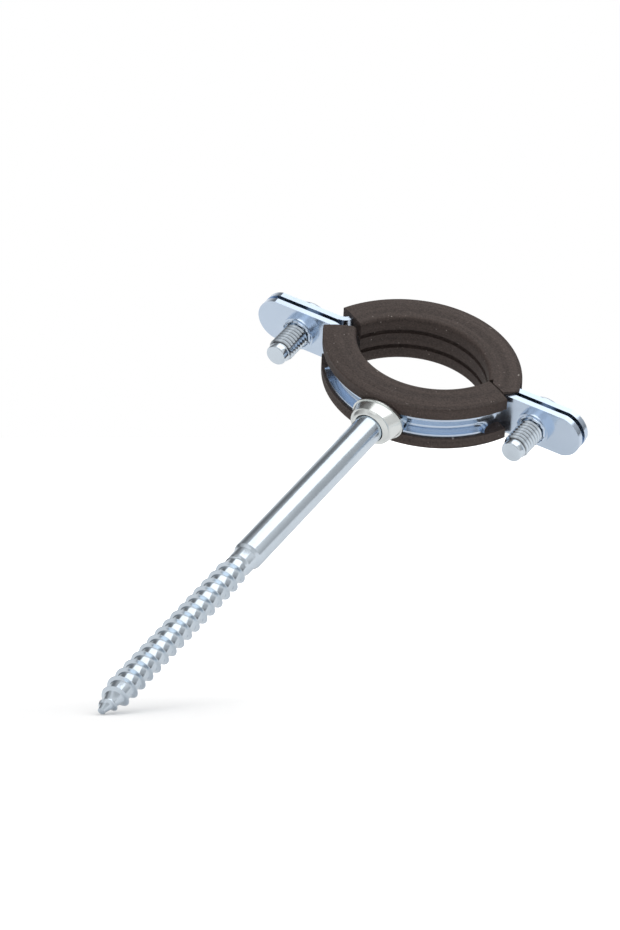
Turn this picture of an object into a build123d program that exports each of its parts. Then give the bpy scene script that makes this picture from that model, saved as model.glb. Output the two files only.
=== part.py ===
"""Rubber lined pipe clamp with a hanger screw. Millimetres, +Z along the pipe.

The bore centre is the origin. The ears lie along X, and the hanger screw points along -Y.
The front half carries the weld nut; two M6 screws draw the rear half onto it.
"""
import math
import os

from build123d import *

os.makedirs("parts", exist_ok=True)

# ---- driving dimensions ----
# Bore and lining
BORE_RADIUS = 18.8          # crest of the lining ribs, from the centre of each half's own arc
CENTRE_OFFSET = 7.8         # that centre lies this far beyond the parting plane
LINING_WALL = 3.2           # rubber between the pipe and the band
LIP_DROP = 0.4              # the lips slope down to their outer edge
LIP_EDGE = 0.35             # rounding of the lips' outer edges
PARTING_GAP = 0.3           # between the two linings at the bore
GROOVE_DEPTH = 0.9
GROOVE_WIDTH = 1.1
GROOVE_PLACE = 2.1          # middle of each groove above and below mid height
BORE_EDGE = 1.1             # rounding of the lining's inner edges
REAR_SET_BACK = 3.0         # degrees by which the rear lining has crept from the left ear
TONGUE_PAST = 2.4           # its lips reach this far past the parting plane on the right
TONGUE_CLEARANCE = 0.12     # above the edges of the ears
TONGUE_WALL = 0.68          # rubber over the edges of the ears
LIP_HOOK = 0.5              # rubber past the edge of the flange
HOOK_REACH = 0.5            # how far the hook comes round the edge of the flange

# Band
STRIP_THICKNESS = 1.4
STRIP_WIDTH = 10.4          # of the flat strip, and so of the ears
WEB_HALF_HEIGHT = 3.3       # to the outside faces of the channel
CHANNEL_BEND = 0.6          # inside radius between web and flange
EAR_GAP = 1.1
EAR_BEND = 1.6              # inside radius where the band turns into the ear
EAR_LENGTH = 15.3           # from the bend to the corners of an ear
EAR_BULGE = 4.2             # how far the arched end runs past its corners
UNFOLD_LENGTH = 13.0        # degrees of arc over which the channel opens flat towards the ear
UNFOLD_STEPS = 4
FLAT_OPENING = 2.0          # degrees between flange and web that count as flat

# Clamp screws, M6
SCREW_PLACE = 8.225         # from the bend of the ear
SCREW_DIAMETER = 5.9
SCREW_LENGTH = 15.0
SCREW_LEAD = 1.8            # plain lead at the tip
SCREW_LEAD_DIAMETER = 4.9
COLLAR_DIAMETER = 8.2       # drawn collar that holds the thread of a front ear
COLLAR_HEIGHT = 1.6
THREAD_CLEARANCE = 0.05     # radial, thread in its nut or collar
HOLE_CLEARANCE = 0.35       # radial, screw in a rear ear
SEAT_CLEARANCE = 0.05       # under the head, which turns on the ear
HEAD_DIAMETER = 9.8         # low pan head
HEAD_RIM = 0.5
HEAD_HEIGHT = 2.4
HEAD_TOP_DIAMETER = 5.6
HEAD_CROWN = 0.25           # how far the rounding between rim and top stands out
LEAD_CHAMFER = 0.4
SLOT_WIDTH = 1.3
SLOT_DEPTH = 1.3
CROSS_LENGTH = 5.0

# Weld nut: wide along the band, narrow across it
NUT_RIM_WIDTH = 12.8
NUT_RIM_HEIGHT = 9.8
NUT_RIM_THICKNESS = 0.6
NUT_STEP = 0.25             # the cone starts this far inside the rim
NUT_MOUTH_WIDTH = 10.2
NUT_MOUTH_HEIGHT = 9.3
NUT_CONE_LENGTH = 3.1
NUT_POST_WIDTH = 10.4       # the post that stands in the channel
RIM_CLEARANCE = 0.15        # between rim and lining
MOUTH_CHAMFER = 0.3

# Hanger screw
MACHINE_DIAMETER = 8.0      # M8 end in the weld nut
MACHINE_END_GAP = 0.1
MACHINE_CHAMFER = 0.6
SHANK_DIAMETER = 6.8
SHANK_LENGTH = 52.6         # from the mouth of the nut to the neck
SHANK_CHAMFER = 0.5
NECK_DIAMETER = 5.7
NECK_LENGTH = 3.0
WOOD_LENGTH = 54.5          # from the neck to the point
TIP_TAPER = 8.0
TIP_END_PLAIN = 1.0         # the point without thread
THREAD_SECTIONS_PER_TURN = 9
THREAD_ROOT_OVERLAP = 0.3   # of the ridge into the core
TIP_FLAT_DIAMETER = 1.2
WOOD_THREAD_DIAMETER = 6.9
WOOD_CORE_DIAMETER = 5.0
WOOD_PITCH = 3.05
WOOD_ROOT_WIDTH = 1.8
WOOD_CREST_WIDTH = 0.3
THREAD_RUN_IN = 3.0

# ---- worked out ----
WEB_INNER = BORE_RADIUS + LINING_WALL
WEB_MIDDLE = WEB_INNER + STRIP_THICKNESS / 2
WEB_OUTER = WEB_INNER + STRIP_THICKNESS
BEND_MIDDLE = CHANNEL_BEND + STRIP_THICKNESS / 2
WEB_FLAT_HALF = WEB_HALF_HEIGHT - STRIP_THICKNESS - CHANNEL_BEND
FLANGE_FLAT = STRIP_WIDTH / 2 - WEB_FLAT_HALF - BEND_MIDDLE * math.pi / 2
FLANGE_EDGE = WEB_OUTER + CHANNEL_BEND + FLANGE_FLAT
LIP_OUTER = FLANGE_EDGE + LIP_HOOK
LINING_HALF_HEIGHT = STRIP_WIDTH / 2 + TONGUE_CLEARANCE + TONGUE_WALL
EAR_BACK = EAR_GAP / 2
EAR_FACE = EAR_BACK + STRIP_THICKNESS
RIM_BACK = LIP_OUTER - CENTRE_OFFSET + RIM_CLEARANCE
WEB_FRONT = WEB_OUTER - CENTRE_OFFSET
NUT_FRONT = RIM_BACK + NUT_RIM_THICKNESS + NUT_CONE_LENGTH
SHANK_END = NUT_FRONT + SHANK_LENGTH
TIP_END = SHANK_END + NECK_LENGTH + WOOD_LENGTH

# Where the arc of the band meets the bend into the ear, seen along the pipe
EAR_BEND_MIDDLE = EAR_BEND + STRIP_THICKNESS / 2
BEND_CENTRE_DROP = EAR_BACK + STRIP_THICKNESS / 2 + EAR_BEND_MIDDLE
BEND_REACH = WEB_MIDDLE + EAR_BEND_MIDDLE
BEND_TURN = math.degrees(math.asin((CENTRE_OFFSET + BEND_CENTRE_DROP) / BEND_REACH))
BEND_CENTRE_X = BEND_REACH * math.cos(math.radians(BEND_TURN))
EAR_CORNER = BEND_CENTRE_X + EAR_LENGTH
EAR_TIP = EAR_CORNER + EAR_BULGE
UNFOLD_START = BEND_TURN + UNFOLD_LENGTH
LINING_END = math.degrees(math.asin((CENTRE_OFFSET + PARTING_GAP / 2) / BORE_RADIUS))

ARC_AXIS = Axis((0, CENTRE_OFFSET, 0), (0, 0, 1))
BEND_AXIS = Axis((BEND_CENTRE_X, -BEND_CENTRE_DROP, 0), (0, 0, 1))
SCREW_PLACES = {"left": -BEND_CENTRE_X - SCREW_PLACE, "right": BEND_CENTRE_X + SCREW_PLACE}


def polar(centre, radius, degrees):
    """A point at a radius and an angle round a centre, seen along the pipe."""
    turn = math.radians(degrees)
    return Vector(centre[0] + radius * math.cos(turn), centre[1] + radius * math.sin(turn), 0)


def strip_face(degrees, opening):
    """The strip's section across its path, `degrees` below the ears; its flanges stand at `opening`."""
    turn = math.radians(opening)
    middle = BEND_MIDDLE * (math.pi / 2) / turn
    spot = polar((0, CENTRE_OFFSET), WEB_MIDDLE, -degrees)
    out = (spot - Vector(0, CENTRE_OFFSET, 0)).normalized()
    plane = Plane(origin=spot, x_dir=out, z_dir=out.cross(Vector(0, 0, 1)))
    corners = []
    for side in (-STRIP_THICKNESS / 2, STRIP_THICKNESS / 2):
        radius = middle - side
        start, half, end = [(middle - radius * math.cos(bend), WEB_FLAT_HALF + radius * math.sin(bend))
                            for bend in (0, turn / 2, turn)]
        tip = (end[0] + FLANGE_FLAT * math.sin(turn), end[1] + FLANGE_FLAT * math.cos(turn))
        corners.append((start, half, end, tip))
    with BuildSketch(plane) as section:
        with BuildLine():
            for sign in (1, -1):
                inner, outer = [[(x, sign * y) for x, y in row] for row in corners]
                ThreePointArc(*inner[:3])
                Line(inner[2], inner[3])
                Line(inner[3], outer[3])
                Line(outer[3], outer[2])
                ThreePointArc(*outer[2::-1])
            Line(corners[0][0], (corners[0][0][0], -corners[0][0][1]))
            Line(corners[1][0], (corners[1][0][0], -corners[1][0][1]))
        make_face()
    return section.sketch.face()


def band_blank():
    """Front band without holes: flat ears, bends, opening channel and full channel."""
    sections = []
    for step in range(UNFOLD_STEPS + 1):
        part = step / UNFOLD_STEPS
        eased = part * part * (3 - 2 * part)
        sections.append(strip_face(UNFOLD_START - UNFOLD_LENGTH * part, 90 - (90 - FLAT_OPENING) * eased))
    with BuildPart() as blank:
        with BuildSketch(Plane.XZ.offset(EAR_BACK)):
            with BuildLine():
                Polyline((BEND_CENTRE_X, -STRIP_WIDTH / 2), (EAR_CORNER, -STRIP_WIDTH / 2))
                ThreePointArc((EAR_CORNER, -STRIP_WIDTH / 2), (EAR_TIP, 0), (EAR_CORNER, STRIP_WIDTH / 2))
                Polyline((EAR_CORNER, STRIP_WIDTH / 2), (BEND_CENTRE_X, STRIP_WIDTH / 2),
                         (BEND_CENTRE_X, -STRIP_WIDTH / 2))
            make_face()
        extrude(amount=STRIP_THICKNESS)
        add(sections[-1])
        revolve(axis=BEND_AXIS, revolution_arc=-(90 - BEND_TURN))
        loft(sections)
        mirror(about=Plane.YZ)
        add(sections[0])
        revolve(axis=ARC_AXIS, revolution_arc=-(180 - 2 * UNFOLD_START))
    return blank.part


def lining_blank(left_end, right_end):
    """Front lining before the band is pressed into it, between two angles below the ears."""
    with BuildPart() as blank:
        with BuildSketch(Plane.XZ) as section:
            with BuildLine():
                Polyline(
                    (BORE_RADIUS, -LINING_HALF_HEIGHT), (WEB_OUTER, -LINING_HALF_HEIGHT),
                    (LIP_OUTER, -LINING_HALF_HEIGHT + LIP_DROP), (LIP_OUTER, -WEB_HALF_HEIGHT + HOOK_REACH),
                    (WEB_MIDDLE, -WEB_HALF_HEIGHT + HOOK_REACH), (WEB_MIDDLE, WEB_HALF_HEIGHT - HOOK_REACH),
                    (LIP_OUTER, WEB_HALF_HEIGHT - HOOK_REACH), (LIP_OUTER, LINING_HALF_HEIGHT - LIP_DROP),
                    (WEB_OUTER, LINING_HALF_HEIGHT), (BORE_RADIUS, LINING_HALF_HEIGHT), close=True)
            make_face()
            fillet(section.vertices().group_by(Axis.X)[-1].group_by(Axis.Y)[0], LIP_EDGE)
            fillet(section.vertices().group_by(Axis.X)[-1].group_by(Axis.Y)[-1], LIP_EDGE)
            fillet(section.vertices().group_by(Axis.X)[0], BORE_EDGE)
            with Locations((BORE_RADIUS, GROOVE_PLACE), (BORE_RADIUS, -GROOVE_PLACE)):
                SlotOverall(2 * GROOVE_DEPTH, GROOVE_WIDTH, mode=Mode.SUBTRACT)
        revolve(axis=Axis.Z, revolution_arc=-(180 - left_end - right_end))
    return Pos(0, CENTRE_OFFSET, 0) * Rot(0, 0, -right_end) * blank.part


def lip_tongues():
    """A front lining's two lips carried on past the parting on the right, over the edges of the ears."""
    foot = STRIP_WIDTH / 2 + TONGUE_CLEARANCE
    inner, outer = BORE_RADIUS + BORE_EDGE, LIP_OUTER - LIP_EDGE
    outer_top = LINING_HALF_HEIGHT - LIP_DROP * (outer - WEB_OUTER) / (LIP_OUTER - WEB_OUTER)
    root = polar((0, 0), 1, -LINING_END)
    root_plane = Plane(origin=(0, CENTRE_OFFSET, 0), x_dir=root, z_dir=root.cross(Vector(0, 0, 1)))
    away = polar((0, 0), 1, LINING_END - 90)
    other_end = Plane(origin=Vector(0, -CENTRE_OFFSET, 0) + away * PARTING_GAP, z_dir=away)
    corner = Vector((TONGUE_PAST + CENTRE_OFFSET) / math.tan(math.radians(LINING_END)), TONGUE_PAST, 0)
    with BuildPart() as tongues:
        with BuildSketch(root_plane):
            with BuildLine():
                Polyline((inner, foot), (outer, foot), (outer, outer_top), (WEB_OUTER, LINING_HALF_HEIGHT),
                         (inner, LINING_HALF_HEIGHT), close=True)
            make_face()
        revolve(axis=ARC_AXIS, revolution_arc=LINING_END)
        split(bisect_by=other_end, keep=Keep.TOP)
        split(bisect_by=Plane(origin=corner, z_dir=(1, 1, 0)), keep=Keep.BOTTOM)
        mirror(about=Plane.XY)
    return tongues.part


def ear_holes(diameter):
    """Two cylinders along the clamp screws, long enough to pass the ears."""
    with BuildPart() as holes:
        with BuildSketch(Plane.XZ):
            with Locations(*((x, 0) for x in SCREW_PLACES.values())):
                Circle(diameter / 2)
        extrude(amount=4 * EAR_FACE, both=True)
    return holes.part


# ---- front band, with drawn threaded collars ----
front_blank = band_blank()
thread_holes = ear_holes(SCREW_DIAMETER + 2 * THREAD_CLEARANCE)
with BuildPart() as front_band:
    add(front_blank)
    for x in SCREW_PLACES.values():
        with BuildSketch(Plane.XZ.offset(EAR_BACK)):
            with Locations((x, 0)):
                Circle(COLLAR_DIAMETER / 2)
        extrude(amount=STRIP_THICKNESS + COLLAR_HEIGHT)
    add(thread_holes, mode=Mode.SUBTRACT)
front_band.part.label = "front_band"
export_step(front_band.part, "parts/front_band.step")

# ---- rear band, with clearance holes ----
clear_holes = ear_holes(SCREW_DIAMETER + 2 * HOLE_CLEARANCE)
with BuildPart() as rear_band:
    add(front_blank.mirror(Plane.XZ))
    add(clear_holes, mode=Mode.SUBTRACT)
rear_band.part.label = "rear_band"
export_step(rear_band.part, "parts/rear_band.step")

# ---- rubber linings; the rear one has crept a little towards the right ----
with BuildPart() as front_lining:
    add(lining_blank(LINING_END, LINING_END))
    add(front_blank, mode=Mode.SUBTRACT)
front_lining.part.label = "front_lining"
export_step(front_lining.part, "parts/front_lining.step")

rear_blank = lining_blank(LINING_END + REAR_SET_BACK, LINING_END) - front_blank
with BuildPart() as rear_lining:
    add(rear_blank.mirror(Plane.XZ))
    add(lip_tongues().mirror(Plane.XZ))
rear_lining.part.label = "rear_lining"
export_step(rear_lining.part, "parts/rear_lining.step")

# ---- weld nut: post in the channel, rim against the flanges, cone to the mouth ----
with BuildPart() as weld_nut:
    with BuildSketch(Plane.XZ.offset(RIM_BACK)):
        Ellipse(NUT_RIM_WIDTH / 2, NUT_RIM_HEIGHT / 2)
    extrude(amount=NUT_RIM_THICKNESS)
    with BuildSketch(Plane.XZ.offset(RIM_BACK + NUT_RIM_THICKNESS)):
        Ellipse(NUT_RIM_WIDTH / 2 - NUT_STEP, NUT_RIM_HEIGHT / 2 - NUT_STEP)
    with BuildSketch(Plane.XZ.offset(NUT_FRONT)):
        Ellipse(NUT_MOUTH_WIDTH / 2, NUT_MOUTH_HEIGHT / 2)
    loft()
    with BuildSketch(Plane.XZ.offset(RIM_BACK)):
        Circle(MACHINE_DIAMETER / 2 + THREAD_CLEARANCE)
    extrude(amount=NUT_FRONT - RIM_BACK, mode=Mode.SUBTRACT)
    chamfer(weld_nut.edges().filter_by(GeomType.CIRCLE).sort_by(Axis.Y)[0], MOUTH_CHAMFER)
    with BuildSketch(Plane.XZ.offset(WEB_FRONT / 2)):
        Rectangle(NUT_POST_WIDTH, 2 * WEB_FLAT_HALF)
    extrude(amount=RIM_BACK - WEB_FRONT / 2)
    with Locations((0, CENTRE_OFFSET, 0)):
        Cylinder(WEB_OUTER, STRIP_WIDTH * 2, mode=Mode.SUBTRACT)
weld_nut.part.label = "weld_nut"
export_step(weld_nut.part, "parts/weld_nut.step")


# ---- hanger screw ----
def wood_thread():
    """The coarse thread as a ridge round the core; it rises after the neck and runs out at the tip."""
    start = SHANK_END + NECK_LENGTH + 0.6
    length = TIP_END - start - TIP_END_PLAIN
    steps = round(length / WOOD_PITCH * THREAD_SECTIONS_PER_TURN)
    sections = []
    for step in range(steps + 1):
        along = length * step / steps
        left = length + TIP_END_PLAIN - along
        core = TIP_FLAT_DIAMETER / 2 + (WOOD_CORE_DIAMETER - TIP_FLAT_DIAMETER) / 2 * min(1, left / TIP_TAPER)
        root = core - THREAD_ROOT_OVERLAP
        height = (WOOD_THREAD_DIAMETER - WOOD_CORE_DIAMETER) / 2
        height *= min(1, 0.1 + along / THREAD_RUN_IN, 0.25 + left / TIP_TAPER)
        turn = 2 * math.pi * along / WOOD_PITCH
        plane = Plane(origin=(0, -start - along, 0), x_dir=(math.cos(turn), 0, math.sin(turn)),
                      z_dir=(-math.sin(turn), 0, math.cos(turn)))
        with BuildSketch(plane) as section:
            with BuildLine():
                Polyline((root, -WOOD_ROOT_WIDTH / 2), (core + height, -WOOD_CREST_WIDTH / 2),
                         (core + height, WOOD_CREST_WIDTH / 2), (root, WOOD_ROOT_WIDTH / 2), close=True)
            make_face()
        sections.append(section.sketch.face())
    with BuildPart() as ridge:
        loft(sections, ruled=True)
    return ridge.part


machine_start = RIM_BACK + MACHINE_END_GAP
thread = wood_thread()
with BuildPart() as hanger_screw:
    with BuildSketch(Plane.XY):
        with BuildLine():
            Polyline(
                (0, -machine_start), (MACHINE_DIAMETER / 2 - MACHINE_CHAMFER, -machine_start),
                (MACHINE_DIAMETER / 2, -machine_start - MACHINE_CHAMFER),
                (MACHINE_DIAMETER / 2, -NUT_FRONT + MACHINE_CHAMFER), (SHANK_DIAMETER / 2, -NUT_FRONT),
                (SHANK_DIAMETER / 2, -SHANK_END + SHANK_CHAMFER),
                (NECK_DIAMETER / 2, -SHANK_END), (NECK_DIAMETER / 2, -SHANK_END - NECK_LENGTH),
                (WOOD_CORE_DIAMETER / 2, -SHANK_END - NECK_LENGTH - 1),
                (WOOD_CORE_DIAMETER / 2, -TIP_END + TIP_TAPER), (TIP_FLAT_DIAMETER / 2, -TIP_END),
                (0, -TIP_END), close=True)
        make_face()
    revolve(axis=Axis.Y)
    add(thread)
hanger_screw.part.label = "hanger_screw"
export_step(hanger_screw.part, "parts/hanger_screw.step")


# ---- clamp screws: low pan heads with a slot and a short cross, on the rear ----
for side, x in SCREW_PLACES.items():
    seat = EAR_FACE + SEAT_CLEARANCE
    tip = seat - SCREW_LENGTH
    lead = SCREW_LEAD_DIAMETER / 2
    with BuildPart() as clamp_screw:
        with BuildSketch(Plane.XY):
            with BuildLine():
                Polyline((x, seat + HEAD_HEIGHT), (x, tip), (x + lead - LEAD_CHAMFER, tip),
                         (x + lead, tip + LEAD_CHAMFER), (x + lead, tip + SCREW_LEAD - LEAD_CHAMFER),
                         (x + SCREW_DIAMETER / 2, tip + SCREW_LEAD), (x + SCREW_DIAMETER / 2, seat),
                         (x + HEAD_DIAMETER / 2, seat), (x + HEAD_DIAMETER / 2, seat + HEAD_RIM))
                ThreePointArc((x + HEAD_DIAMETER / 2, seat + HEAD_RIM),
                              (x + (HEAD_DIAMETER + HEAD_TOP_DIAMETER) / 4 + HEAD_CROWN,
                               seat + (HEAD_RIM + HEAD_HEIGHT) / 2 + HEAD_CROWN),
                              (x + HEAD_TOP_DIAMETER / 2, seat + HEAD_HEIGHT))
                Line((x + HEAD_TOP_DIAMETER / 2, seat + HEAD_HEIGHT), (x, seat + HEAD_HEIGHT))
            make_face()
        revolve(axis=Axis((x, 0, 0), (0, 1, 0)))
        with Locations((x, seat + HEAD_HEIGHT, 0)):
            Box(HEAD_DIAMETER, 2 * SLOT_DEPTH, SLOT_WIDTH, mode=Mode.SUBTRACT)
            Box(SLOT_WIDTH, 2 * SLOT_DEPTH, CROSS_LENGTH, mode=Mode.SUBTRACT)
    clamp_screw.part.label = f"clamp_screw_{side}"
    export_step(clamp_screw.part, f"parts/clamp_screw_{side}.step")
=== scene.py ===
"""Rubber lined pipe clamp with a hanger screw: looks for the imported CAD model."""
import bmesh
import bpy
import math
from mathutils import Matrix, Vector


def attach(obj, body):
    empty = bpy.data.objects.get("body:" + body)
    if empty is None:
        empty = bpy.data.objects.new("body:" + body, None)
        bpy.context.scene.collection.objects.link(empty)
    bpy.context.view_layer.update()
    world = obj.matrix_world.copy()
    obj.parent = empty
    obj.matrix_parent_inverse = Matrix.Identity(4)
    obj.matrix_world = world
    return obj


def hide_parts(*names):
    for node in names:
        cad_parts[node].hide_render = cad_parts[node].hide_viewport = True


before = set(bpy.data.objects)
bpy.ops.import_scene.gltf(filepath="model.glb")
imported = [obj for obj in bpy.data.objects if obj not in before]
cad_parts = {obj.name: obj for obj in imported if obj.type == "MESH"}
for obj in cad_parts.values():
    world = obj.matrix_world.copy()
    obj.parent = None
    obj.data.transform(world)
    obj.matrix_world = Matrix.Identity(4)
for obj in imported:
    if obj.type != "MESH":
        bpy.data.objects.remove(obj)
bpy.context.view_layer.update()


# ---- Camera ----
# A long lens looks down on the clamp from the front, the right and above, and is rolled
# so that the hanger screw runs down to the left.
CAMERA_PLACE = Vector((0.40652, -0.76980, 0.71460))
CAMERA_RIGHT = Vector((0.85538, 0.51681, 0.03516))
CAMERA_UP = Vector((-0.35895, 0.54243, 0.75956))
CAMERA_BACK = Vector((0.37348, -0.66233, 0.64949))
CAMERA_LENS = 193.55
CAMERA_SENSOR = 36.0
CAMERA_CLIP_END = 20.0

scene = bpy.context.scene
camera_data = bpy.data.cameras.new("camera")
camera_data.lens = CAMERA_LENS
camera_data.sensor_width = CAMERA_SENSOR
camera_data.clip_end = CAMERA_CLIP_END
camera = bpy.data.objects.new("camera", camera_data)
camera.matrix_world = Matrix((
    (CAMERA_RIGHT.x, CAMERA_UP.x, CAMERA_BACK.x, CAMERA_PLACE.x),
    (CAMERA_RIGHT.y, CAMERA_UP.y, CAMERA_BACK.y, CAMERA_PLACE.y),
    (CAMERA_RIGHT.z, CAMERA_UP.z, CAMERA_BACK.z, CAMERA_PLACE.z),
    (0, 0, 0, 1)))
scene.collection.objects.link(camera)
scene.camera = camera


# ---- Studio: room ----
# A white room. What the bright metal reflects of it is white straight behind the clamp, dark
# beside that, and grey towards the camera. Its soft light comes from above.
WHITE = (1, 1, 1, 1)
# (share of the way from behind the clamp to the camera, brightness)
ROOM_LEVELS = (
    (0.0, 1.0), (0.10, 0.75), (0.22, 0.16), (0.36, 0.20), (0.47, 0.45),
    (0.60, 0.48), (0.72, 0.82), (0.86, 0.50), (1.0, 0.70))
ROOM_LIGHT_BELOW = 0.05
ROOM_LIGHT_ABOVE = 1.0
ROOM_LIGHT_LOW = 0.25
ROOM_LIGHT_HIGH = 0.95


def spread(tree, value, low, high, low_value, high_value, smooth=False):
    """Maps a value between two others to a value between two new ones."""
    step = tree.nodes.new("ShaderNodeMapRange")
    if smooth:
        step.interpolation_type = "SMOOTHSTEP"
    step.inputs["From Min"].default_value = low
    step.inputs["From Max"].default_value = high
    step.inputs["To Min"].default_value = low_value
    step.inputs["To Max"].default_value = high_value
    tree.links.new(value, step.inputs["Value"])
    return step.outputs["Result"]


def arithmetic(tree, operation, first, second=0.0):
    """One step of arithmetic on a node's value; the second value may be a plain number."""
    step = tree.nodes.new("ShaderNodeMath")
    step.operation = operation
    tree.links.new(first, step.inputs[0])
    if isinstance(second, float):
        step.inputs[1].default_value = second
    else:
        tree.links.new(second, step.inputs[1])
    return step.outputs["Value"]


def mixed_shader(tree, share, first, second):
    """One shader fading into another by a share."""
    mix = tree.nodes.new("ShaderNodeMixShader")
    for socket, value in zip(mix.inputs, (share, first, second)):
        tree.links.new(value, socket)
    return mix.outputs["Shader"]


def room_share(tree, coords, direction):
    """How far a ray points along a direction: 0 for straight against it, 1 for straight along it."""
    along = tree.nodes.new("ShaderNodeVectorMath")
    along.operation = "DOT_PRODUCT"
    along.inputs[1].default_value = direction
    tree.links.new(coords.outputs["Generated"], along.inputs[0])
    return spread(tree, along.outputs["Value"], -1.0, 1.0, 0.0, 1.0)


def white_background(tree):
    """A plain white background at strength 1."""
    background = tree.nodes.new("ShaderNodeBackground")
    background.inputs["Color"].default_value = WHITE
    return background


scene.view_settings.view_transform = "Standard"
world = bpy.data.worlds.new("studio")
scene.world = world
world.use_nodes = True
room = world.node_tree
room.nodes.clear()
coords = room.nodes.new("ShaderNodeTexCoord")
path = room.nodes.new("ShaderNodeLightPath")
levels = room.nodes.new("ShaderNodeValToRGB")
stops = levels.color_ramp.elements
for count, (share, level) in enumerate(ROOM_LEVELS):
    # a new ramp already holds two stops
    stop = stops[count] if count < 2 else stops.new(share)
    stop.position = share
    stop.color = (level, level, level, 1)
room.links.new(room_share(room, coords, CAMERA_BACK), levels.inputs["Fac"])
reflected = room.nodes.new("ShaderNodeBackground")
room.links.new(levels.outputs["Color"], reflected.inputs["Color"])
light = white_background(room)
above = room_share(room, coords, CAMERA_UP)
room.links.new(
    spread(room, above, ROOM_LIGHT_LOW, ROOM_LIGHT_HIGH, ROOM_LIGHT_BELOW, ROOM_LIGHT_ABOVE, smooth=True),
    light.inputs["Strength"])
glossy_or_clear = arithmetic(
    room, "MAXIMUM", path.outputs["Is Glossy Ray"], path.outputs["Is Transmission Ray"])
lit_or_reflected = mixed_shader(room, glossy_or_clear, light.outputs[0], reflected.outputs[0])
seen = white_background(room)
world_output = room.nodes.new("ShaderNodeOutputWorld")
room.links.new(
    mixed_shader(room, path.outputs["Is Camera Ray"], lit_or_reflected, seen.outputs[0]),
    world_output.inputs["Surface"])


# ---- Studio: floor and lamps ----
# A pale floor under the tip of the screw, from which the clamp leans up. It glows a little
# towards the camera, and more with distance, so that the shadow fades out to white. A large
# soft lamp hangs above and a small one stands in front.
TIP = Vector((0, -0.1325, 0))
FLOOR_TILT = math.radians(2.5)
FLOOR_REACH = 1.5
FLOOR_GAP = 0.0008
FLOOR_GREY = (0.74, 0.74, 0.74, 1)
FLOOR_ROUGHNESS = 0.9
FLOOR_GLOW = 0.185
FAR_FLOOR_GLOW = FLOOR_GLOW + 0.7
SHADOW_START = 0.015
SHADOW_REACH = 0.16

floor_up = (CAMERA_UP * math.cos(FLOOR_TILT) + CAMERA_BACK * math.sin(FLOOR_TILT)).normalized()
floor_mesh = bpy.data.meshes.new("floor")
bm = bmesh.new()
bmesh.ops.create_grid(bm, x_segments=1, y_segments=1, size=FLOOR_REACH)
bmesh.ops.rotate(bm, verts=bm.verts, matrix=floor_up.to_track_quat("Z", "Y").to_matrix())
bmesh.ops.translate(bm, verts=bm.verts, vec=TIP - floor_up * FLOOR_GAP)
bm.to_mesh(floor_mesh)
bm.free()
floor = bpy.data.objects.new("floor", floor_mesh)
scene.collection.objects.link(floor)

floor_paint = bpy.data.materials.new("floor_paint")
floor_paint.use_nodes = True
paint = floor_paint.node_tree
shader = paint.nodes["Principled BSDF"]
shader.inputs["Base Color"].default_value = FLOOR_GREY
shader.inputs["Roughness"].default_value = FLOOR_ROUGHNESS
coords = paint.nodes.new("ShaderNodeTexCoord")
path = paint.nodes.new("ShaderNodeLightPath")
from_tip = paint.nodes.new("ShaderNodeVectorMath")
from_tip.operation = "DISTANCE"
from_tip.inputs[1].default_value = TIP
paint.links.new(coords.outputs["Object"], from_tip.inputs[0])
glow = spread(
    paint, from_tip.outputs["Value"], SHADOW_START, SHADOW_REACH, FLOOR_GLOW, FAR_FLOOR_GLOW, smooth=True)
shader.inputs["Emission Color"].default_value = WHITE
paint.links.new(
    arithmetic(paint, "MULTIPLY", glow, path.outputs["Is Camera Ray"]), shader.inputs["Emission Strength"])
from_below = paint.nodes.new("ShaderNodeNewGeometry").outputs["Backfacing"]
clear = paint.nodes.new("ShaderNodeBsdfTransparent")
paint.links.new(
    mixed_shader(paint, from_below, shader.outputs["BSDF"], clear.outputs["BSDF"]),
    paint.nodes["Material Output"].inputs["Surface"])
floor_mesh.materials.append(floor_paint)


def softbox(name, right, up, back, size, watts):
    """A square lamp at so many metres along the camera's axes, facing the clamp."""
    data = bpy.data.lights.new(name, "AREA")
    data.shape = "SQUARE"
    data.size = size
    data.energy = watts
    lamp = bpy.data.objects.new(name, data)
    lamp.location = CAMERA_RIGHT * right + CAMERA_UP * up + CAMERA_BACK * back
    lamp.rotation_mode = "QUATERNION"
    lamp.rotation_quaternion = lamp.location.to_track_quat("Z", "Y")
    lamp.visible_camera = False
    scene.collection.objects.link(lamp)


softbox("overhead_softbox", right=0.42, up=0.90, back=-0.06, size=1.12, watts=4.2)
softbox("front_softbox", right=-0.5, up=0.45, back=1.0, size=0.7, watts=0.6)


# ---- Bands ----
# Two half bands of bright zinc plated strip steel, rolled into a channel round the rubber
# and pressed flat at the ears. The front one has a drawn, threaded collar in each ear.
ZINC_CLOUD_SCALE = 160.0
ZINC_CLOUD_DETAIL = 3.0
ZINC_GRAIN_SCALE = 2600.0
ZINC_GRAIN_DETAIL = 4.0
ZINC_GRAIN_DEPTH = 0.00005
ZINC_SMOOTHEST = 0.75
ZINC_ROUGHEST = 1.3


def noise(tree, place, scale, detail):
    """Cloudy noise at a place."""
    cloud = tree.nodes.new("ShaderNodeTexNoise")
    cloud.inputs["Scale"].default_value = scale
    cloud.inputs["Detail"].default_value = detail
    tree.links.new(place, cloud.inputs["Vector"])
    return cloud.outputs["Fac"]


def mixed_colour(tree, share, first, second):
    """A colour between two others, each given as red, green and blue or as a node's output."""
    mix = tree.nodes.new("ShaderNodeMix")
    mix.data_type = "RGBA"
    for name, colour in (("A", first), ("B", second)):
        if isinstance(colour, tuple):
            mix.inputs[name].default_value = (*colour, 1)
        else:
            tree.links.new(colour, mix.inputs[name])
    tree.links.new(share, mix.inputs["Factor"])
    return mix.outputs["Result"]


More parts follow.
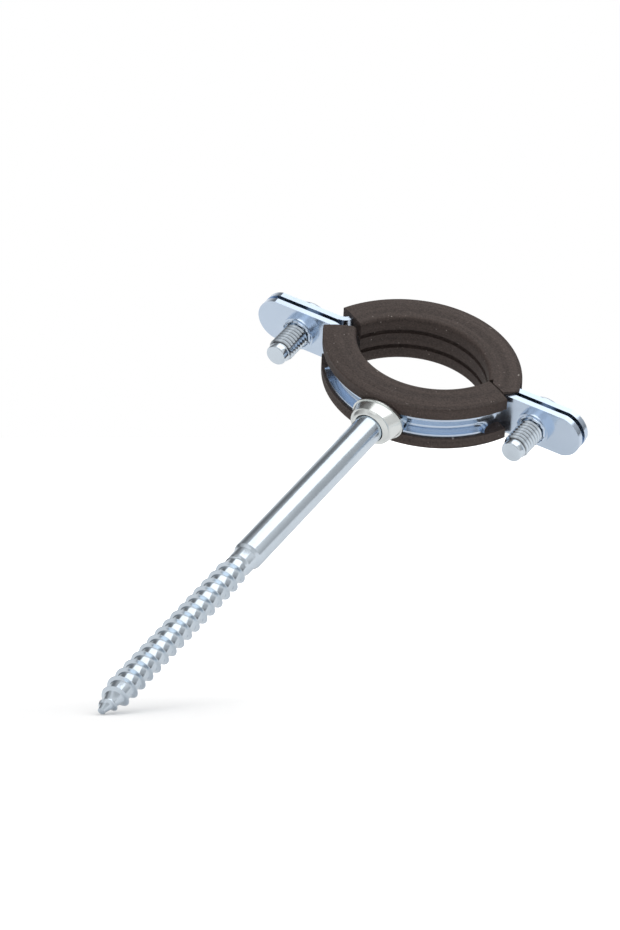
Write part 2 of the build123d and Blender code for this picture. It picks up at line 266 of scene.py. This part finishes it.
def add_relief(tree, shader, height, strength, depth):
    """Gives a shader a relief of so many metres."""
    bump = tree.nodes.new("ShaderNodeBump")
    bump.inputs["Strength"].default_value = strength
    bump.inputs["Distance"].default_value = depth
    tree.links.new(height, bump.inputs["Height"])
    tree.links.new(bump.outputs["Normal"], shader.inputs["Normal"])


def zinc_plate(name, pale, deep, roughness, grain):
    """Bright zinc with slow changes of tint, a fine grain and soft roughness."""
    material = bpy.data.materials.new(name)
    material.use_nodes = True
    tree = material.node_tree
    shader = tree.nodes["Principled BSDF"]
    shader.inputs["Metallic"].default_value = 1.0
    place = tree.nodes.new("ShaderNodeTexCoord").outputs["Object"]
    cloud = noise(tree, place, ZINC_CLOUD_SCALE, ZINC_CLOUD_DETAIL)
    tree.links.new(mixed_colour(tree, cloud, pale, deep), shader.inputs["Base Color"])
    fine = noise(tree, place, ZINC_GRAIN_SCALE, ZINC_GRAIN_DETAIL)
    rough = spread(tree, fine, 0.0, 1.0, roughness * ZINC_SMOOTHEST, roughness * ZINC_ROUGHEST)
    tree.links.new(rough, shader.inputs["Roughness"])
    add_relief(tree, shader, fine, grain, ZINC_GRAIN_DEPTH)
    return material


def finish_node(node, material):
    """Gives a CAD node its finish."""
    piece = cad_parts[node]
    for slot in piece.material_slots:
        slot.material = material
    if not piece.material_slots:
        piece.data.materials.append(material)


band_zinc = zinc_plate(
    "band_zinc", pale=(0.67, 0.77, 0.91), deep=(0.57, 0.68, 0.82), roughness=0.20, grain=0.10)
finish_node("front_band", band_zinc)
finish_node("rear_band", band_zinc)


# ---- Rubber linings ----
# Matte brown-black rubber, extruded with three ribs towards the pipe and two lips that
# clip over the band, then cut to length. The die leaves faint lines along the strip, and
# a little dust sticks to it.
ARC_CENTRE = 0.0078
RUBBER_DEEP = (0.030, 0.021, 0.018)
RUBBER_PALE = (0.085, 0.062, 0.054)
RUBBER_DUST = (0.42, 0.38, 0.35)
RUBBER_ROUGHNESS = 0.68
RUBBER_SHEEN = 0.35
RUBBER_RELIEF = 0.5
RUBBER_RELIEF_DEPTH = 0.0001
RUBBER_NOISE_DETAIL = 3.0
DIE_LINE_SCALE = 900.0
DIE_LINE_RANGE = (0.35, 0.65)
DIE_LINE_DRIFT = 0.03
DIE_LINE_SHARE = 0.35
RUBBER_GRAIN_SCALE = 2600.0
RUBBER_GRAIN_RANGE = (0.3, 0.7)
RUBBER_GRAIN_SHARE = 0.65
DUST_SCALE = 1300.0
DUST_DETAIL = 1.0
DUST_RANGE = (0.74, 0.80)
DUST_COVER = 0.6


def distance_of(tree, first, second):
    """The length of a line that goes so far one way and so far across it."""
    squares = [arithmetic(tree, "MULTIPLY", side, side) for side in (first, second)]
    return arithmetic(tree, "SQRT", arithmetic(tree, "ADD", *squares))


lining_rubber = bpy.data.materials.new("lining_rubber")
lining_rubber.use_nodes = True
rubber = lining_rubber.node_tree
shader = rubber.nodes["Principled BSDF"]
place = rubber.nodes.new("ShaderNodeTexCoord").outputs["Object"]
parts = rubber.nodes.new("ShaderNodeSeparateXYZ")
rubber.links.new(place, parts.inputs[0])
from_parting = arithmetic(rubber, "ADD", arithmetic(rubber, "ABSOLUTE", parts.outputs["Y"]), ARC_CENTRE)
across_strip = rubber.nodes.new("ShaderNodeCombineXYZ")
rubber.links.new(distance_of(rubber, parts.outputs["X"], from_parting), across_strip.inputs["X"])
rubber.links.new(arithmetic(rubber, "MULTIPLY", parts.outputs["X"], DIE_LINE_DRIFT), across_strip.inputs["Y"])
rubber.links.new(parts.outputs["Z"], across_strip.inputs["Z"])
die_noise = noise(rubber, across_strip.outputs[0], DIE_LINE_SCALE, RUBBER_NOISE_DETAIL)
die_lines = spread(rubber, die_noise, *DIE_LINE_RANGE, 0.0, 1.0)
grain_noise = noise(rubber, place, RUBBER_GRAIN_SCALE, RUBBER_NOISE_DETAIL)
grain = spread(rubber, grain_noise, *RUBBER_GRAIN_RANGE, 0.0, 1.0)
dust_noise = noise(rubber, place, DUST_SCALE, DUST_DETAIL)
dust = spread(rubber, dust_noise, *DUST_RANGE, 0.0, DUST_COVER)
tone = arithmetic(
    rubber, "ADD", arithmetic(rubber, "MULTIPLY", die_lines, DIE_LINE_SHARE),
    arithmetic(rubber, "MULTIPLY", grain, RUBBER_GRAIN_SHARE))
clean_rubber = mixed_colour(rubber, tone, RUBBER_DEEP, RUBBER_PALE)
rubber.links.new(mixed_colour(rubber, dust, clean_rubber, RUBBER_DUST), shader.inputs["Base Color"])
shader.inputs["Roughness"].default_value = RUBBER_ROUGHNESS
shader.inputs["Specular IOR Level"].default_value = RUBBER_SHEEN
add_relief(rubber, shader, arithmetic(rubber, "ADD", die_lines, grain), RUBBER_RELIEF, RUBBER_RELIEF_DEPTH)
finish_node("front_lining", lining_rubber)
finish_node("rear_lining", lining_rubber)


# ---- Weld nut ----
# A turned cone of zinc plated steel with an M8 thread. Its rim sits over the lips of the
# rubber and its foot is welded into the channel of the front band.
nut_zinc = zinc_plate(
    "nut_zinc", pale=(0.84, 0.87, 0.87), deep=(0.76, 0.79, 0.77), roughness=0.22, grain=0.05)
finish_node("weld_nut", nut_zinc)


# ---- Hanger screw ----
# One piece of zinc plated steel: an M8 end in the weld nut, a plain shank, a turned neck
# and a coarse wood thread, rolled on and run out to a blunt gimlet point.

# A profile is (radius, distance from the centre of the bore) and a ridge is (share of the
# pitch, radius), all in millimetres.
MM = 0.001
SHANK_PROFILE = (
    (0, 18.9), (3.4, 18.9), (4.0, 19.5), (4.0, 21.8), (3.4, 22.4), (3.4, 74.25), (3.33, 74.5), (2.92, 74.95),
    (2.85, 75.1), (2.85, 77.7), (2.78, 78.0), (2.45, 78.8), (2.3, 79.2), (0, 79.2))
SHANK_STEPS = 72
WOOD_PITCH = 3.05
WOOD_CORE = 2.5
WOOD_RIDGE = (
    (0.0, 2.5), (0.30, 2.5), (0.37, 2.56), (0.41, 2.75), (0.478, 3.29), (0.5, 3.34),
    (0.522, 3.29), (0.59, 2.75), (0.63, 2.56), (0.70, 2.5), (1.0, 2.5))
WOOD_STEPS = 40
WOOD_START = 77.6
WOOD_RUN_IN = 3.4
WOOD_TIP = 132.5
WOOD_END = WOOD_TIP - 0.05
WOOD_TAPER = 7.0
WOOD_POINT = 0.7
WOOD_LAST_RIDGE = 0.2
WOOD_RUN_OUT = 1.3
LEAD_TURNS = 1.5
MERGE_WITHIN = 0.002 * MM
CUT_WITHIN = 0.00001 * MM
ON_AXIS = 0.01
SHARP_EDGE = math.radians(32)


def lathe(bm, profile, steps, x=0.0):
    """Spins a profile round the hanger screw's line, or round a line beside it."""
    points = [bm.verts.new(((x + radius) * MM, -distance * MM, 0)) for radius, distance in profile]
    edges = [bm.edges.new(pair) for pair in zip(points, points[1:])]
    bmesh.ops.spin(
        bm, geom=points + edges, cent=(x * MM, 0, 0), axis=(0, -1, 0), dvec=(0, 0, 0), angle=2 * math.pi,
        steps=steps, use_merge=True, use_normal_flip=False, use_duplicate=False)
    bmesh.ops.remove_doubles(bm, verts=bm.verts, dist=MERGE_WITHIN)


def cut_off(bm, distance, side):
    """Cuts off what lies before a distance, for side 1, or beyond it, for side -1."""
    bmesh.ops.bisect_plane(
        bm, geom=bm.verts[:] + bm.edges[:] + bm.faces[:], dist=CUT_WITHIN,
        plane_co=(0, -distance * MM, 0), plane_no=(0, side, 0), clear_outer=True)


def close_ends(bm):
    """Fills the open ends that cutting leaves."""
    bmesh.ops.holes_fill(bm, edges=[edge for edge in bm.edges if edge.is_boundary], sides=0)


def rolled_thread(bm, ridge, pitch, start, end, steps, x=0.0):
    """A right-hand thread between two distances, swept from one pitch of its ridge."""
    first = start - pitch * LEAD_TURNS
    turns = math.ceil((end - first) / pitch) + 1
    points = [bm.verts.new(((x + radius) * MM, -(first + part * pitch) * MM, 0)) for part, radius in ridge]
    edges = [bm.edges.new(pair) for pair in zip(points, points[1:])]
    bmesh.ops.spin(
        bm, geom=points + edges, cent=(x * MM, 0, 0), axis=(0, -1, 0), dvec=(0, -pitch * MM / steps, 0),
        angle=2 * math.pi * turns, steps=steps * turns,
        use_merge=False, use_normal_flip=False, use_duplicate=False)
    bmesh.ops.remove_doubles(bm, verts=bm.verts, dist=MERGE_WITHIN)
    cut_off(bm, start, 1)
    cut_off(bm, end, -1)
    close_ends(bm)


def shaped(bm, rule, x=0.0):
    """Moves each point of a round piece to the radius that the rule gives for its radius and distance."""
    for vert in bm.verts:
        across = Vector((vert.co.x - x * MM, 0, vert.co.z))
        radius = across.length / MM
        if radius > ON_AXIS:
            across *= rule(radius, -vert.co.y / MM) / radius
            vert.co = Vector((x * MM + across.x, vert.co.y, across.z))


def take_in(bm, *others):
    """Adds the meshes of other parts of a piece to it."""
    for other in others:
        joined = bpy.data.meshes.new("joined")
        other.to_mesh(joined)
        other.free()
        bm.from_mesh(joined)
        bpy.data.meshes.remove(joined)


def add_piece(name, bm, material, body, slot, *nodes):
    """Makes the finished mesh a piece that rides on a body and stands for its CAD nodes, if any."""
    bmesh.ops.recalc_face_normals(bm, faces=bm.faces)
    mesh = bpy.data.meshes.new(name)
    bm.to_mesh(mesh)
    bm.free()
    mesh.materials.append(material)
    mesh.shade_smooth()
    mesh.set_sharp_from_angle(angle=SHARP_EDGE)
    piece = bpy.data.objects.new(name, mesh)
    scene.collection.objects.link(piece)
    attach(piece, body)
    if nodes:
        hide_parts(*nodes)


def wood_radius(radius, distance):
    """Fades the ridge in after the neck and tapers core and ridge to the point."""
    left = (WOOD_TIP - distance) / WOOD_TAPER
    core = WOOD_POINT + (WOOD_CORE - WOOD_POINT) * min(1, left)
    ridge = min(1, (distance - WOOD_START) / WOOD_RUN_IN, WOOD_LAST_RIDGE + WOOD_RUN_OUT * left)
    return core + (radius - WOOD_CORE) * max(0, ridge)


screw_zinc = zinc_plate(
    "screw_zinc", pale=(0.74, 0.82, 0.90), deep=(0.58, 0.66, 0.74), roughness=0.18, grain=0.16)
thread = bmesh.new()
rolled_thread(thread, WOOD_RIDGE, WOOD_PITCH, WOOD_START, WOOD_END, WOOD_STEPS)
shaped(thread, wood_radius)
shank = bmesh.new()
lathe(shank, SHANK_PROFILE, SHANK_STEPS)
take_in(shank, thread)
add_piece("hanger_screw_rolled", shank, screw_zinc, "screw", "zinc_screw", "hanger_screw")


# ---- Lip of the weld nut ----
# The mouth of the nut is closed in round the shank by a short rolled lip. It turns with the
# nut and leaves a fine dark gap round the shank.
NUT_LIP = (
    (4.62, 22.38), (4.62, 22.48), (4.35, 22.75), (3.95, 23.1),
    (3.62, 23.25), (3.52, 23.12), (3.5, 22.7), (3.5, 22.38))
NUT_LIP_STEPS = 72

nut_lip = bmesh.new()
lathe(nut_lip, NUT_LIP + NUT_LIP[:1], NUT_LIP_STEPS)
add_piece("weld_nut_lip", nut_lip, nut_zinc, "front_half", "zinc_nut")


# ---- Clamp screws ----
# Two M6 pan head screws of zinc plated steel. Each stands in the rear ear, bites in the
# drawn collar of the front ear, and ends in a plain lead. The roots of the thread carry painted shade: their
# colour is darkened where shade would fall.
SCREW_LINE = 30.5
M6_PITCH = 1.0
M6_RIDGE = ((0.0, 2.3), (0.04, 2.3), (0.43, 2.95), (0.57, 2.95), (0.96, 2.3), (1.0, 2.3))
M6_CORE = 2.3
M6_STEPS = 40
M6_START = -1.95
M6_END = 11.5
M6_RUN_OUT = 0.9
M6_LEAD = (
    (0, 10.9), (2.3, 10.9), (2.42, 11.1), (2.45, 11.4), (2.45, 12.65), (2.33, 12.9), (2.05, 13.0), (0, 13.0))
M6_LEAD_STEPS = 48
M6_HEAD_FOOT = -1.9
CAD_MERGE_WITHIN = 0.001 * MM
# where the painted shade of the thread roots lies: metres from the screw's own line and along it, as the
# material reads them
PAINTED_ROOT_SHADE = (0.10, 0.11, 0.12)
PAINTED_ROOT_SHADE_DEPTH = 0.9
ROOT_RADIUS = 0.0024
BARE_RADIUS = 0.00268
THREAD_MIDDLE = 0.0048
THREAD_HALF = 0.0062

m6_zinc_painted_root_shade = zinc_plate(
    "m6_zinc_painted_root_shade", pale=(0.76, 0.84, 0.92), deep=(0.62, 0.70, 0.78), roughness=0.18, grain=0.14)
plating = m6_zinc_painted_root_shade.node_tree
shader = plating.nodes["Principled BSDF"]
parts = plating.nodes.new("ShaderNodeSeparateXYZ")
plating.links.new(plating.nodes.new("ShaderNodeTexCoord").outputs["Object"], parts.inputs[0])
from_line = arithmetic(
    plating, "SUBTRACT", arithmetic(plating, "ABSOLUTE", parts.outputs["X"]), SCREW_LINE * MM)
from_axis = distance_of(plating, from_line, parts.outputs["Z"])
# painted shade: the base colour darkens from the crests down into the thread roots, as if shade fell there
in_painted_root_shade = spread(plating, from_axis, ROOT_RADIUS, BARE_RADIUS, PAINTED_ROOT_SHADE_DEPTH, 0.0)
off_thread = arithmetic(
    plating, "ABSOLUTE", arithmetic(plating, "ADD", parts.outputs["Y"], THREAD_MIDDLE))
on_thread = arithmetic(plating, "LESS_THAN", off_thread, THREAD_HALF)
painted_shade_share = arithmetic(plating, "MULTIPLY", in_painted_root_shade, on_thread)
bare_zinc = shader.inputs["Base Color"].links[0].from_socket
plating.links.new(mixed_colour(plating, painted_shade_share, bare_zinc, PAINTED_ROOT_SHADE), shader.inputs["Base Color"])


def m6_radius(radius, distance):
    """Runs the ridge out into the plain lead."""
    return M6_CORE + (radius - M6_CORE) * max(0, min(1, (M6_END - distance) / M6_RUN_OUT))


for side, x in (("left", -SCREW_LINE), ("right", SCREW_LINE)):
    node = "clamp_screw_" + side
    screw = bmesh.new()
    rolled_thread(screw, M6_RIDGE, M6_PITCH, M6_START, M6_END, M6_STEPS, x)
    shaped(screw, m6_radius, x)
    lead = bmesh.new()
    lathe(lead, M6_LEAD, M6_LEAD_STEPS, x)
    head = bmesh.new()
    head.from_mesh(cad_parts[node].data)
    bmesh.ops.remove_doubles(head, verts=head.verts, dist=CAD_MERGE_WITHIN)
    cut_off(head, M6_HEAD_FOOT, -1)
    close_ends(head)
    take_in(screw, lead, head)
    add_piece(node + "_threaded", screw, m6_zinc_painted_root_shade, side + "_screw", "zinc_screw", node)


# ---- Burr of the drawn collars ----
# The thread tap leaves a torn bright rim on the drawn collar of each front ear. It is part
# of the band and stays with the ear when the clamp screw turns.
BURR = ((3.12, 3.45), (3.12, 3.78), (3.34, 3.95), (3.66, 3.72), (3.72, 3.45))
BURR_STEPS = 96
BURR_RIM = 3.6
# (waves in a turn, turn of the first in radians, height in millimetres)
BURR_TEARS = ((5, 1.0, 0.16), (11, 0.3, 0.12), (17, 2.0, 0.08))

for side, x in (("left", -SCREW_LINE), ("right", SCREW_LINE)):
    burr = bmesh.new()
    lathe(burr, BURR + BURR[:1], BURR_STEPS, x)
    for vert in burr.verts:
        if vert.co.y < -BURR_RIM * MM:
            angle = math.atan2(vert.co.z, vert.co.x - x * MM)
            tear = sum(height * math.sin(waves * angle + turn) for waves, turn, height in BURR_TEARS)
            vert.co.y -= MM * tear
    add_piece("collar_burr_" + side, burr, band_zinc, "front_half", "zinc_band")
